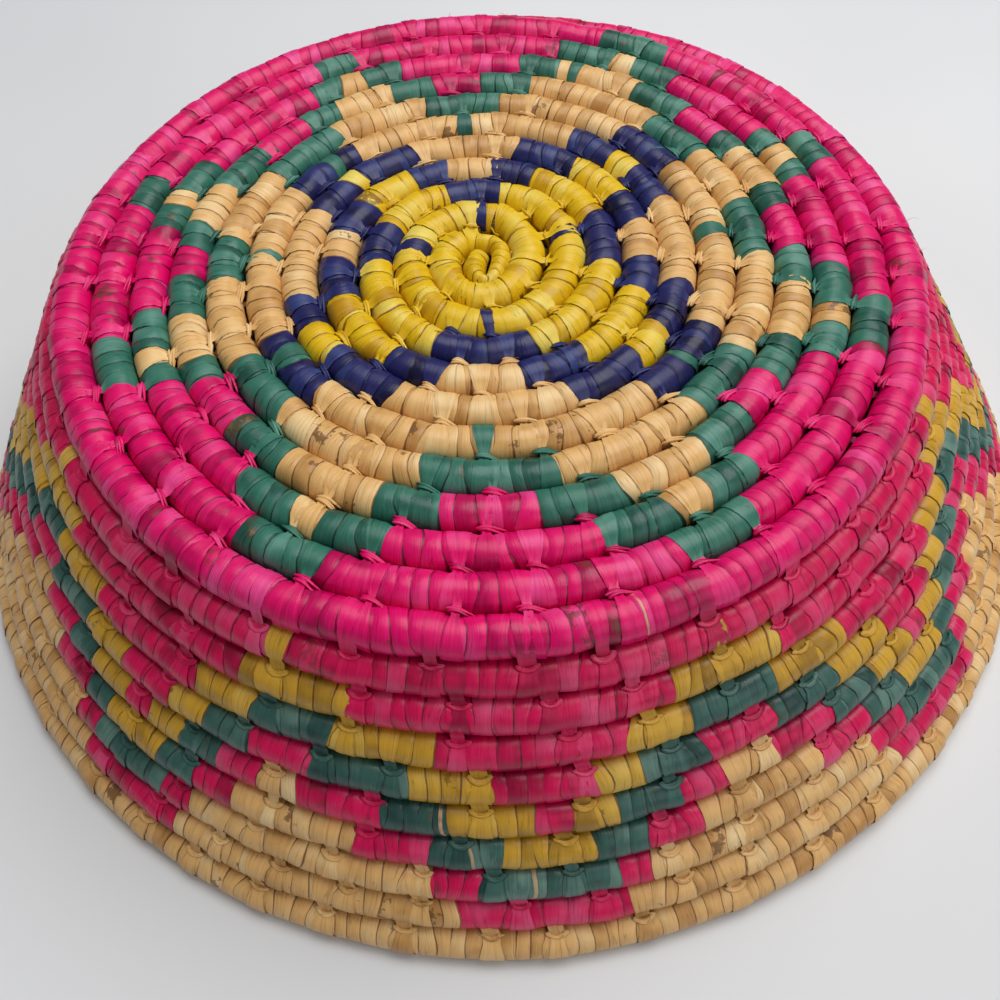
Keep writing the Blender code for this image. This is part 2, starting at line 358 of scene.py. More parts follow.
# One wind of strip, modelled once: a ring of radius 1 whose first edge stands proud and folds down
# over the wind before it, and whose last edge is tucked under the next. Its radius over 1 is the
# lift in millimetres. Its rings give their place, how far they shift along, and their lift.
wrapLook = {
    "sides": 16,
    "rings": ((0.5, 0, -0.04), (1 / 6, 0.275, 0.18), (-1 / 6, -0.02, 0.11), (-0.5, 0, -0.1)),
    "width": (2.5 * mm, 4.1 * mm),
    "leastWidth": 0.5 * mm,
    "lastRoom": 1.2 * mm,         # left over at a row's end beyond the narrowest strip
    "overlap": 1.0 * mm,
    "tilt": radians(4.0),
    "crossingShare": 0.08,        # edges that run across their neighbours
    "crossingTilt": radians(15),
    "bow": 0.35 * mm,
    "firstLift": 0.3,             # the first strip of a row has nothing to fold over, as a share
    "uneven": 0.03,               # lift that differs from strip to strip, in millimetres
}


def modelWrap():
    deselectAll()
    bpy.ops.mesh.primitive_cylinder_add(
        vertices=wrapLook["sides"], radius=1, depth=1, end_fill_type="NOTHING")
    wrap = bpy.context.active_object
    bpy.ops.object.mode_set(mode="EDIT")
    bpy.ops.mesh.select_all(action="DESELECT")
    bpy.ops.mesh.select_mode(type="EDGE")
    bpy.ops.object.mode_set(mode="OBJECT")
    for edge in wrap.data.edges:
        low, high = [wrap.data.vertices[corner].co for corner in edge.vertices]
        edge.select = abs(low.z - high.z) > 0.5
    bpy.ops.object.mode_set(mode="EDIT")
    bpy.ops.mesh.subdivide(number_cuts=2)
    bpy.ops.mesh.select_mode(type="VERT")
    for height, shift, lift in wrapLook["rings"]:
        pickPoints(wrap, lambda co, height=height: abs(co.z - height) < 0.03)
        bpy.ops.transform.resize(value=(1 + lift, 1 + lift, 1))
        bpy.ops.transform.translate(value=(0, 0, shift))
    return takeTemplate(wrap)


# One stitch, modelled once: a creased band over one row, through the valley and on to the next.
bandSteps = 12                    # faces down the band


def modelStitch():
    deselectAll()
    bpy.ops.mesh.primitive_grid_add(x_subdivisions=4, y_subdivisions=bandSteps, size=2)
    stitch = bpy.context.active_object
    pickPoints(stitch, lambda co: round((co.x + 1) * 2) in (1, 3))
    bpy.ops.transform.translate(value=(0, 0, 1))
    pickPoints(stitch, lambda co: abs(co.x) > 0.95)
    bpy.ops.transform.translate(value=(0, 0, -0.3))
    return takeTemplate(stitch)


# One loop of a knot, modelled once: the upper part of a flattened ring, thinner towards its ends.
def modelLoop():
    deselectAll()
    bpy.ops.mesh.primitive_torus_add(major_segments=12, minor_segments=6, major_radius=1, minor_radius=0.3)
    loop = bpy.context.active_object
    bpy.ops.object.mode_set(mode="EDIT")
    bpy.ops.mesh.select_all(action="SELECT")
    bpy.ops.mesh.bisect(plane_co=(0, -0.35, 0), plane_no=(0, 1, 0), clear_inner=True)
    bpy.ops.mesh.select_all(action="SELECT")
    bpy.ops.transform.resize(value=(1, 1, 1.5))
    pickPoints(loop, lambda co: abs(co.x) > 0.8)
    bpy.ops.transform.resize(value=(1.15, 0.8, 0.65), center_override=(0, 0, 0))
    return takeTemplate(loop)


# One loose fibre, modelled once: a thin curved hair of leaf, one unit long.
def modelFibre():
    deselectAll()
    bpy.ops.mesh.primitive_cone_add(vertices=4, radius1=0.012, radius2=0.003, depth=1, location=(0, 0, 0.5))
    fibre = bpy.context.active_object
    bpy.ops.object.transform_apply(location=True)
    bpy.ops.object.mode_set(mode="EDIT")
    bpy.ops.mesh.select_all(action="SELECT")
    parts = 6
    bpy.ops.mesh.subdivide(number_cuts=parts - 1)
    for step in range(1, parts + 1):
        pickPoints(fibre, lambda co, step=step: co.z > step / parts - 0.08)
        bpy.ops.transform.translate(value=(0.035 * step, 0, 0))
    return takeTemplate(fibre)


def makePiece(name, points, faces, dyes, uvs, traits, materials):
    mesh = bpy.data.meshes.new(name)
    mesh.from_pydata(points.tolist(), [], faces)
    for material in materials:
        mesh.materials.append(material)
    mesh.polygons.foreach_set("material_index", np.asarray(dyes, dtype=np.int32))
    uvLayer = mesh.uv_layers.new(name="strip")
    uvLayer.uv.foreach_set("vector", np.asarray(uvs, dtype=np.float32).ravel())
    layer = mesh.attributes.new("stripTraits", "FLOAT_VECTOR", "POINT")
    layer.data.foreach_set("vector", np.asarray(traits, dtype=np.float32).ravel())
    mesh.shade_smooth()
    mesh.update()
    piece = bpy.data.objects.new(name, mesh)
    scene.collection.objects.link(piece)
    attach(piece, "root")
    return piece


# Dyed and plain leaf strip, split from a palm leaf and wound on damp. Dried leaf is satin with a
# fine grain along it; each strip takes the dye a little differently, folds where it was bent, and has
# brown spots from the leaf. Painted shade darkens its folds and the folded-down edge of each wind, and
# a painted contact shadow lies where the next wind's edge covers it. Each dye is given where it took
# deep, as it mostly is and where it is pale, and then the colour and strength of its stains.
dyes = {
    "magenta": ("A20046", "E20066", "EE4A92", "6B3A2A", 0.75),
    "rose": ("9C083A", "D80C54", "E04E7C", "6B3A2A", 0.5),
    "green": ("1E4A40", "34705E", "609484", "7A6A3A", 0.9),
    "sage": ("223F3C", "375F56", "6A8C80", "7A6A3A", 0.7),
    "natural": ("BA874A", "E2B270", "F0D29C", "80582E", 0.85),
    "navy": ("121236", "20205A", "34427A", "54483A", 0.6),
    "yellow": ("B8860E", "E2B80C", "E6D060", "8A5F22", 0.8),
    "gold": ("9A7220", "CE9E30", "DCB654", "6E4E22", 0.6),
}
dyeNames = list(dyes)
stripLook = {
    "roughness": (0.3, 0.44),
    "grains": 12.0,               # lines across a strip: 0.3 mm, coarser than real leaf so that they show
    "darkGrain": 0.34,            # how strong the dark grain lines, the pale grain lines and the painted shade in the folds are
    "paleGrain": 0.22,
    "foldShade": 0.36,
    "folds": 3.0,                 # folds across a strip
    "shade": "907060",            # painted shade: what the slit and fold shade lines multiply the deep dye by
    "undyed": "D9AE84",
    "stainRim": "5A3A22",
    "stainSize": 7 * mm,
}


def toLinear(text):
    values = [int(text[i:i + 2], 16) / 255 for i in (0, 2, 4)]
    return tuple(v / 12.92 if v <= 0.04045 else ((v + 0.055) / 1.055) ** 2.4 for v in values) + (1.0,)


def addNode(tree, kind, settings, inputs):
    # inputs go by name or number, or in the node's own order, such as value, from low, from high, to
    # low and to high. Each is a value, a socket, or a node that gives its first output.
    node = tree.nodes.new("ShaderNode" + kind)
    for key, value in settings.items():
        setattr(node, key, value)
    for key, value in (inputs.items() if isinstance(inputs, dict) else enumerate(inputs)):
        if isinstance(value, bpy.types.Node):
            value = value.outputs[0]
        if isinstance(value, bpy.types.NodeSocket):
            tree.links.new(value, node.inputs[key])
        else:
            node.inputs[key].default_value = value
    return node


eased = {"interpolation_type": "SMOOTHSTEP"}
blend = {"data_type": "RGBA"}
multiply = {"operation": "MULTIPLY"}
multiplyAdd = {"operation": "MULTIPLY_ADD"}
highest = {"operation": "MAXIMUM"}


def newMaterial(name):
    material = bpy.data.materials.new(name)
    material.use_nodes = True
    return material, material.node_tree, material.node_tree.nodes["Principled BSDF"]


def leafStrip(dye):
    deep, main, pale, stain = [toLinear(colour) for colour in dyes[dye][:4]]
    stained = dyes[dye][4]
    material, tree, shader = newMaterial("satinLeafStrip" + dye.capitalize())
    uv = addNode(tree, "UVMap", {"uv_map": "strip"}, {})
    across, around = addNode(tree, "SeparateXYZ", {}, (uv,)).outputs[:2]
    traits = addNode(tree, "Attribute", {"attribute_name": "stripTraits"}, {})
    tone, spotted, streaked = addNode(tree, "SeparateXYZ", {}, (traits.outputs["Vector"],)).outputs
    place = addNode(tree, "TexCoord", {}, {}).outputs["Object"]

    # the dye each strip took, and how it clouds along the strip
    clouds = addNode(tree, "TexNoise", {}, {"Vector": place, "Scale": 120.0, "Detail": 2.0})
    took = addNode(tree, "Math", multiplyAdd, (tone, 0.55, clouds))
    even = addNode(tree, "MapRange", eased, (took, 0.35, 0.75))
    paler = addNode(tree, "MapRange", eased, (took, 0.8, 1.25))

    # fine grain along the strip
    seed = addNode(tree, "Math", multiply, (tone, 61.7))
    grainX = addNode(tree, "Math", multiply, (across, stripLook["grains"]))
    grainY = addNode(tree, "Math", multiply, (around, 3.0))
    grainAt = addNode(tree, "CombineXYZ", {}, (grainX, grainY, seed))
    grain = addNode(tree, "TexNoise", {}, {
        "Vector": grainAt, "Scale": 1.0, "Detail": 2.0, "Roughness": 0.6})
    darkGrain = addNode(tree, "MapRange", eased, (grain, 0.32, 0.48, stripLook["darkGrain"], 0.0))
    paleGrain = addNode(tree, "MapRange", eased, (grain, 0.55, 0.75, 0.0, stripLook["paleGrain"]))

    # a few strips keep an undyed streak
    streak = addNode(tree, "Math", {"operation": "COMPARE"}, (across, 0.6, 0.1))
    streakEnds = addNode(tree, "MapRange", eased, (clouds, 0.36, 0.46, 0.0, 0.9))
    streakLength = addNode(tree, "Math", multiply, (streakEnds, streaked))
    streakShare = addNode(tree, "Math", multiply, (streak, streakLength))

    # brown spots with darker rims
    stains = addNode(tree, "TexNoise", {}, {
        "Vector": place, "Scale": 1 / stripLook["stainSize"], "Detail": 4.0, "Roughness": 0.7})
    often = addNode(tree, "Math", multiplyAdd, (spotted, 0.14, stains))
    rim = addNode(tree, "MapRange", eased, (often, 0.69, 0.72, 0.0, stained * 0.8))
    heart = addNode(tree, "MapRange", eased, (often, 0.73, 0.77, 0.0, stained * 0.7))

    # painted shade: dark lines in the folds and on the folded-down edge of each wind, and a painted contact
    # shadow where the next wind's edge lies on it
    foldX = addNode(tree, "Math", multiply, (across, stripLook["folds"]))
    foldAt = addNode(tree, "CombineXYZ", {}, (foldX, around, seed))
    folding = addNode(tree, "TexNoise", {}, {"Vector": foldAt, "Scale": 1.0, "Detail": 1.0})
    foldAway = addNode(tree, "Math", {"operation": "PINGPONG"}, (folding, 0.12))
    foldShadeMask = addNode(tree, "MapRange", eased, (foldAway, 0.0, 0.014, stripLook["foldShade"], 0.0))
    # near darkens the folded-down proud edge of a wind with painted shade; far paints a contact shadow on the
    # wind just where the next wind's edge covers it
    near = addNode(tree, "MapRange", eased, (across, 0.965, 0.995, 0.0, 0.5))
    far = addNode(tree, "MapRange", eased, (across, 0.065, 0.0, 0.0, 0.85))
    slitShade = addNode(tree, "Math", highest, (near, far))
    shadeLines = addNode(tree, "Math", highest, (slitShade, foldShadeMask))
    shadeColour = addNode(tree, "Mix", {"data_type": "RGBA", "blend_type": "MULTIPLY"}, {
        0: 1.0, 6: deep, 7: toLinear(stripLook["shade"])})

    # each layer of colour over the ones before, by its share
    colour = addNode(tree, "Mix", blend, {0: even, 6: deep, 7: main})
    # the last layer is painted shade: the slit and fold lines, multiplied dark
    for share, over in ((paler, pale), (darkGrain, deep), (paleGrain, pale),
                        (streakShare, toLinear(stripLook["undyed"])), (rim, toLinear(stripLook["stainRim"])),
                        (heart, stain), (shadeLines, shadeColour.outputs[2])):
        colour = addNode(tree, "Mix", blend, {0: share, 6: colour.outputs[2], 7: over})
    tree.links.new(colour.outputs[2], shader.inputs["Base Color"])

    low, high = stripLook["roughness"]
    sheen = addNode(tree, "MapRange", eased, (clouds, 0.35, 0.65, low, high))
    tree.links.new(sheen.outputs[0], shader.inputs["Roughness"])
    height = addNode(tree, "Math", multiplyAdd, (shadeLines, -0.8, grain))
    bump = addNode(tree, "Bump", {}, {"Strength": 0.4, "Distance": 0.14 * mm, "Height": height})
    tree.links.new(bump.outputs[0], shader.inputs["Normal"])
    shader.inputs["IOR"].default_value = 1.45
    shader.inputs["Specular IOR Level"].default_value = 0.42
    return material


stripMaterials = [leafStrip(name) for name in dyeNames]
print("leaf strip materials made:", len(stripMaterials))

wrapTemplate = modelWrap()
stitchTemplate = modelStitch()
loopTemplate = modelLoop()
fibreTemplate = modelFibre()
print("templates modelled")


# Strips that stand out in the photograph, each as row, angle and how strongly.
oddStrips = {
    "spotted": (
        (11, -79.6, 1.4), (11, -78, 2), (11, -76.4, 1.8), (11, -125.5, 1), (11, -136, 1), (11, -146.2, 0.8),
        (10, -134.5, 0.8), (10, -122, 1), (9, -127.2, 1), (8, -135.7, 1), (9, -89.5, 1), (6, -105.8, 1),
        (7, -121, 1), (5, -92, 1), (7, 30, 0.8), (8, 28, 0.8), (7, -2.7, 1), (8, -9.2, 0.8),
        (10, -21.2, 1), (11, -18.5, 0.8), (11, 8.8, 0.8), (11, -3.7, 1.1), (11, 21.8, 0.9), (8, -33.5, 0.8),
    ),
    "streaked": (
        (9, -83.3, 1), (10, -84.6, 1), (10, -82.4, 1), (7, -103, 1), (11, -72.4, 1), (16, -95.7, 1),
        (17, -92.7, 0.8), (18, -88, 0.8),
    ),
}


def layOutEdges(length, rng):
    # the places of the strips' exposed edges along a row, with each one's slant and bow
    places, slants, bows = [0.0], [0.0], [0.0]
    while length - places[-1] > wrapLook["width"][0] + wrapLook["lastRoom"]:
        places.append(places[-1] + rng.uniform(*wrapLook["width"]))
        crossing = rng.uniform() < wrapLook["crossingShare"]
        tilt = rng.choice([-1, 1]) * wrapLook["crossingTilt"] if crossing else rng.normal(0, wrapLook["tilt"])
        slants.append(rowLook["radius"] * np.tan(tilt))
        bows.append(rng.normal(0, wrapLook["bow"]))
    if length - places[-1] > wrapLook["leastWidth"]:
        for values in (places, slants, bows):
            values.append(0.0)
    places[-1] = length
    slants[-1] = bows[-1] = 0.0
    return np.array(places), np.array(slants), np.array(bows)


def drawnToKnots(place, knotPlaces, facing):
    # strips beside a knot are drawn to it on the side where it sits
    away = place - knotPlaces[np.abs(place - knotPlaces).argmin()]
    draw = -away * np.exp(-(away / knotLook["pullLength"]) ** 2) * knotLook["pull"]
    return draw * np.clip((facing - 0.1) / 0.75, 0, 1) ** 2


def windStrips(length, edges, pullAt, skin, dyeOf, traitsOf, rng):
    # lay winds of strip between neighbouring edges; skin gives the points for places, angles and lifts
    shape, faces = wrapTemplate
    cornerAngle = np.mod(np.arctan2(shape[:, 1], shape[:, 0]), turn)
    lift = (np.hypot(shape[:, 0], shape[:, 1]) - 1) * mm
    share = 0.5 - shape[:, 2]
    places, slants, bows = edges
    points, allFaces, allDyes, uvs, traits = [], [], [], [], []
    for number in range(len(places) - 1):
        here, there = places[number:number + 2]
        middle = (here + there) / 2
        sides = []
        for edge in (number, number + 1):
            lean = slants[edge] * np.cos(cornerAngle) + bows[edge] * np.cos(2 * cornerAngle)
            sides.append(places[edge] - lean + pullAt(places[edge], np.cos(cornerAngle)))
        tucked = wrapLook["overlap"] * (number < len(places) - 2)
        width = np.maximum(sides[1] - sides[0], wrapLook["leastWidth"])
        spot = sides[0] + (width + tucked) * share
        raised = lift * (1 if number else wrapLook["firstLift"])
        raised += rng.uniform(-wrapLook["uneven"], wrapLook["uneven"]) * mm
        points.append(skin(np.clip(spot, 0, length), cornerAngle, raised))
        allFaces += (np.array(faces) + number * len(shape)).tolist()
        allDyes += [dyeNames.index(dyeOf(middle))] * len(faces)
        reach = (there - here + tucked) / (there - here)
        stripAcross = 1 - share * reach
        for face in faces:
            angles = cornerAngle[face]
            if angles.max() - angles.min() > pi:
                angles = np.where(angles < pi, angles + turn, angles)
            uvs.append(np.stack([stripAcross[face], angles / turn], -1))
        traits.append(np.tile(traitsOf(middle), (len(shape), 1)))
    return np.concatenate(points), allFaces, allDyes, np.concatenate(uvs), np.concatenate(traits)


def wrapRow(row):
    rng = np.random.default_rng(500 + row)
    look = rows[row]

    def pullAt(place, facing):
        toNext = drawnToKnots(place, look["nextKnots"], facing)
        return toNext + drawnToKnots(place, look["lastKnots"], -facing)

    def skin(spot, around, lift):
        return skinPoint(row, alongToAzimuth(row, spot), around, lift)

    def dyeOf(place):
        return dyeAt(row, alongToAzimuth(row, place))

    def traitsOf(place):
        azimuth = alongToAzimuth(row, place)
        angle = azimuth * 180 / pi
        traits = [rng.uniform(), max(rng.uniform(-4, 1), 0), 0]  # tone, spotted on one in five, streaked
        halfStrip = sum(wrapLook["width"]) / 4 / np.hypot(*middleAt(row, azimuth)[0][:2]) * 180 / pi
        for number, shows in ((1, "spotted"), (2, "streaked")):
            for oddRow, oddAngle, amount in oddStrips[shows]:
                if oddRow == row and abs(angle - oddAngle) < halfStrip:
                    traits[number] = amount
        return traits

    made = windStrips(look["length"], layOutEdges(look["length"], rng), pullAt, skin, dyeOf, traitsOf, rng)
    cadNode = nodeNames[row]
    name = "wrap" + "".join(word.capitalize() for word in cadNode.split("_"))
    piece = makePiece(name, *made, stripMaterials)
    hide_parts(cadNode)
    return len(made[1])


nodeNames = {row: "base_row_%02d" % row for row in range(1, coil["baseRows"] + 1)}
nodeNames.update({coil["baseRows"] + row: "wall_row_%02d" % row for row in range(1, coil["wallRows"])})
nodeNames[allRows] = "rim_row"
print("strips wound, faces:", sum(wrapRow(row) for row in range(1, allRows + 1)))

# The curled start of the coil, a thin hook inside the first row: x and y from the middle of the
# base, height from the middle of the rows, and half its width, in millimetres.
startLook = {
    "route": (
        (0.9, 3.0, -0.6, 0.3), (0.5, 2.0, 0.4, 1.7), (-0.4, 0.2, 1.2, 2.3), (-1.2, -2.2, 1.5, 2.6),
        (-1.5, -4.8, 1.6, 2.6), (-1.0, -7.2, 2.1, 2.1), (0.9, -8.3, 1.9, 1.4), (2.8, -7.3, 1.4, 1.8),
        (4.1, -4.7, 1.2, 2.2), (4.9, -1.2, 1.1, 2.3), (5.0, 2.2, 1.1, 2.2), (3.7, 4.7, 1.0, 2.1),
        (1.4, 5.7, 0.6, 2.2), (-1.0, 6.2, 0.2, 2.6),
    ),
    "steps": 16,                  # between two places of the route
    "tall": 1.25,                 # height of its section over its width
    "width": (1.9 * mm, 3.0 * mm),
    "lastRoom": 3.2 * mm,
    "slant": 0.5 * mm,
    "bow": 0.3 * mm,
}


def windStart():
    rng = np.random.default_rng(450)
    route = np.array(startLook["route"]) * mm
    corners = np.concatenate([[2 * route[0] - route[1]], route, [2 * route[-1] - route[-2]]])
    fine = []
    for p0, p1, p2, p3 in zip(corners, corners[1:], corners[2:], corners[3:]):
        for t in np.linspace(0, 1, startLook["steps"], endpoint=False):
            curve = 2 * p1 + (p2 - p0) * t + (2 * p0 - 5 * p1 + 4 * p2 - p3) * t ** 2
            fine.append((curve + (3 * p1 - p0 - 3 * p2 + p3) * t ** 3) / 2)
    fine = np.array(fine)
    steps = np.linalg.norm(np.diff(fine[:, :3], axis=0), axis=1)
    along = np.concatenate([[0], np.cumsum(steps)])
    ways = np.gradient(fine[:, :3], axis=0)
    ways /= np.linalg.norm(ways[:, :2], axis=1)[:, None]
    middle = np.array([-coil["rimShift"][0], -coil["rimShift"][1], baseMiddleZ])

    def skin(spot, around, lift):
        at = np.stack([np.interp(spot, along, fine[:, axis]) for axis in range(4)], -1)
        way = np.stack([np.interp(spot, along, ways[:, axis]) for axis in range(2)], -1)
        radius = np.maximum(at[:, 3] + lift * np.clip(at[:, 3] / (2 * mm), 0, 1), 0.1 * mm)
        side = radius * np.cos(around)
        return middle + at[:, :3] + np.stack([
            side * way[:, 1], -side * way[:, 0], radius * startLook["tall"] * np.sin(around)], -1)

    places = [0.0]
    while along[-1] - places[-1] > startLook["lastRoom"]:
        places.append(places[-1] + rng.uniform(*startLook["width"]))
    places[-1] = along[-1]
    slants = rng.normal(0, startLook["slant"], len(places))
    bows = rng.normal(0, startLook["bow"], len(places))
    slants[0] = bows[0] = slants[-1] = bows[-1] = 0
    made = windStrips(along[-1], (places, slants, bows), lambda place, facing: 0, skin,
                      lambda place: "yellow", lambda place: [rng.uniform(0.2, 1), 0, 0], rng)
    piece = makePiece("wrapCoilStart", *made, stripMaterials)
    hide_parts("coil_start")


windStart()
print("curled start wound")

# Stitches and their knots. Places down a band: row (0 inner, 1 outer), degrees round the row, lift in
# millimetres and share of the half width. Lengths are in metres and shares have no unit.
stitchLook = {
    "band": (
        (0, 180, -0.15, 1.05), (0, 157.5, 0.25, 1.02), (0, 135, 0.26, 1.0), (0, 112.5, 0.28, 0.96),
        (0, 90, 0.31, 0.84), (0, 64, 0.36, 0.64), (0, 38, 0.38, 0.42), (1, 143, 0.4, 0.42),
        (1, 118, 0.42, 0.64), (1, 90, 0.41, 0.86), (1, 62, 0.4, 0.98), (1, 33, 0.36, 1.02),
        (1, 5, -0.15, 1.05),
    ),
    "startBand": (
        (1, 196, 0.0, 0.4), (1, 184, 0.3, 0.36), (1, 174, 0.38, 0.34), (1, 162, 0.38, 0.4),
        (1, 149, 0.36, 0.52), (1, 134, 0.34, 0.66), (1, 118, 0.32, 0.8), (1, 102, 0.3, 0.9),
        (1, 86, 0.28, 0.96), (1, 70, 0.26, 1.0), (1, 52, 0.23, 1.0), (1, 32, 0.1, 1.05),
        (1, 10, -0.2, 1.05),
    ),
    "neck": 6,                    # steps from the outer end of a band to its neck
    "startNeck": 10,
    "halfWidth": (1.8 * mm, 2.9 * mm),
    "slant": 0.6 * mm,
    "crease": 0.15 * mm,
    "loops": (2, 3),
    "loopLength": (1.1 * mm, 1.7 * mm),
    "loopWidth": (0.9, 1.1),      # in millimetres
    "loopRise": 0.55,
    "loopSunk": 0.12 * mm,
    "loopSlant": (0.15, 0.12),    # mean and spread
    "middleLoops": 0.7,           # length of the loops in the middle of the base, as a share
    "loopSpacing": 0.5 * mm,
    "loopTail": (0.6, 0.4, 0.25),  # how far a loop's end is drawn along, out and down
    "hangingLoops": (3, 4),       # on the wall
    "hangingLength": (1.5 * mm, 2.0 * mm),
    "hangingSag": (0.5, 0.3),     # of the first loop, and how much more each next one has
    "hangingNeck": 0.68,          # least width of a band on the wall, as a share
    "fibreShare": 0.12,           # knots that shed a loose fibre
    "fibreLength": (3 * mm, 8 * mm),
    "fibreTurn": 1.2,             # most turn from the row's way, in radians
}
# loose fibres on the base's edge: angle in degrees, and the turn of each from outwards in radians
strayFibres = {11: ((5.5, 0.2), (-0.5, 0.5), (-265.5, -0.2))}


def unit(way):
    return way / np.linalg.norm(way)


def sewValley(valley):
    rng = np.random.default_rng(700 + valley)
    shape, faces = stitchTemplate
    faces = np.array(faces)
    loopShape, loopFaces = loopTemplate
    fibreShape, fibreFaces = fibreTemplate
    across = shape[:, 0]
    step = np.round((shape[:, 1] + 1) * bandSteps / 2).astype(int)
    band = stitchLook["band" if valley else "startBand"]
    neckStep = stitchLook["neck" if valley else "startNeck"]
    middle = bandSteps / 2 - 0.5  # the neck lies between two steps, and a band slants from there
    hanging = valley >= coil["baseRows"]
    points, allFaces, allDyes, uvs, traits = [], [], [], [], []

    def add(shapePoints, shapeFaces, dyeNumbers, faceUvs, tone):
        used = sum(len(group) for group in points)
        points.append(shapePoints)
        allFaces.extend([[int(corner) + used for corner in face] for face in shapeFaces])
        allDyes.extend(dyeNumbers)
        uvs.append(np.asarray(faceUvs).reshape(-1, 2))
        traits.append(np.tile([tone, 0, 0], (len(shapePoints), 1)))

    def addFibre(root, ahead, upWay, dye):
        length = rng.uniform(*stitchLook["fibreLength"])
        placedFibre = root + length * (
            fibreShape[:, 2:3] * (ahead * 0.8 + upWay * 0.6) + fibreShape[:, 1:2] * np.cross(ahead, upWay)
            - fibreShape[:, 0:1] * upWay)
        add(placedFibre, fibreFaces, [dyeNames.index(dye)] * len(fibreFaces),
            np.full((sum(len(face) for face in fibreFaces), 2), 0.5), rng.uniform())

    def layBand(azimuth, side, lean, halfWidth):
        placed = np.zeros_like(shape)
        for number, (outer, around, lift, share) in enumerate(band):
            ring = step == bandSteps - number
            row = valley + outer
            share = max(share, stitchLook["hangingNeck"]) if hanging else share
            slant = lean[outer] * abs(number - middle) / (middle + 1)
            spot = azimuthToAlong(row, azimuth) + slant + across[ring] * halfWidth * share
            creased = (lift + 0.04) * mm + shape[ring, 2] * stitchLook["crease"] * (1.5 - share)
            placed[ring] = skinPoint(row, alongToAzimuth(row, spot), side * radians(around), creased)
        return placed

    def addLoops(placed, azimuth, dye):
        # loops lie across the neck of the band, and on the wall they hang over the row below
        necks = [placed[step == neckStep - number].mean(0) for number in range(3)]
        neck = necks[1] if hanging else (necks[0] + necks[1]) / 2
        alongWay = np.array([-sin(azimuth), cos(azimuth), 0])
        acrossWay = unit(necks[2] - necks[1] if hanging else necks[1] - necks[0])
        upWay = unit(np.cross(acrossWay, alongWay))
        least, most = stitchLook["hangingLoops" if hanging else "loops"]
        lengths = stitchLook["hangingLength" if hanging else "loopLength"]
        loops = int(rng.integers(least, most + 1)) if valley > 1 else 1
        for loop in range(loops):
            share = stitchLook["middleLoops"]
            length = rng.uniform(*lengths) * (share + (1 - share) * smooth(valley / 4))
            along = loopShape[:, 0] * length
            bulge = loopShape[:, 1] * rng.uniform(*stitchLook["loopWidth"]) * mm
            thick = loopShape[:, 2] * mm
            if hanging:
                first, more = stitchLook["hangingSag"]
                sideways = bulge * (first + more * loop)
                up = 0.2 * mm - 0.5 * thick - 0.12 * bulge * loopShape[:, 1]
            else:
                tail = np.maximum(loopShape[:, 0], 0) ** 2
                drawnAlong, drawnOut, drawnDown = stitchLook["loopTail"]
                offset = (loop - (loops - 1) / 2) * stitchLook["loopSpacing"]
                sideways = 0.85 * thick + offset + along * rng.normal(*stitchLook["loopSlant"])
                sideways += tail * drawnOut * mm
                up = bulge * stitchLook["loopRise"] - stitchLook["loopSunk"] - tail * drawnDown * mm
                along += tail * drawnAlong * length
            placedLoop = neck + along[:, None] * alongWay + sideways[:, None] * acrossWay
            placedLoop += up[:, None] * upWay
            angles = np.arctan2(loopShape[:, 1], loopShape[:, 0]) / turn
            loopUv = np.stack([0.5 + loopShape[:, 2] * 0.8, angles], -1)
            add(placedLoop, loopFaces, [dyeNames.index(dye)] * len(loopFaces),
                np.concatenate([loopUv[face] for face in loopFaces]), rng.uniform())
        if rng.uniform() < stitchLook["fibreShare"]:
            heading = rng.uniform(-1, 1) * stitchLook["fibreTurn"]
            addFibre(neck, cos(heading) * alongWay + sin(heading) * acrossWay, upWay, dye)

    for azimuth, dye in knots[valley]:
        outerDye = dyeAt(valley + 1, azimuth)
        innerDye = dye or dyeAt(max(valley, 1), azimuth)
        halfWidth = rng.uniform(*stitchLook["halfWidth"])
        lean = rng.normal(0, stitchLook["slant"], 2)
        for side in (1, -1):          # outside of the bowl, then inside
            placed = layBand(azimuth, side, lean, halfWidth)
            bandFaces = faces[:, ::side]
            inner = step[faces].mean(1) > bandSteps / 2
            numbers = np.where(inner, dyeNames.index(innerDye), dyeNames.index(outerDye))
            bandUvs = np.stack([across * 0.42 + 0.54, step / (2 * bandSteps)], -1)[bandFaces]
            add(placed, bandFaces, numbers, bandUvs, rng.uniform())
            if side > 0:
                addLoops(placed, azimuth, outerDye)
    for angle, turned in strayFibres.get(valley, ()):
        azimuth, heading = radians(angle), radians(angle) + turned
        root = skinPoint(valley, np.array([azimuth]), np.array([radians(60)]), np.array([0.1 * mm]))[0]
        addFibre(root, np.array([cos(heading), sin(heading), 0]), np.array([0, 0, 1]), "rose")
    piece = makePiece("stitchesValley%02d" % valley, np.concatenate(points), allFaces, allDyes,
                      np.concatenate(uvs), np.concatenate(traits), stripMaterials)


for valley in range(allRows):
    sewValley(valley)
print("valleys sewn:", allRows)

# The grass bundle inside the strip: stems side by side, seen only through slits and at the ends.
bundleLook = {
    "radius": 3.7 * mm,
    "sides": 14,
    "steps": 100,                 # along each row
    "stem": 0.35 * mm,            # how far every second side is sunk
    "stems": 60.0,                # shown round the bundle by the material
}


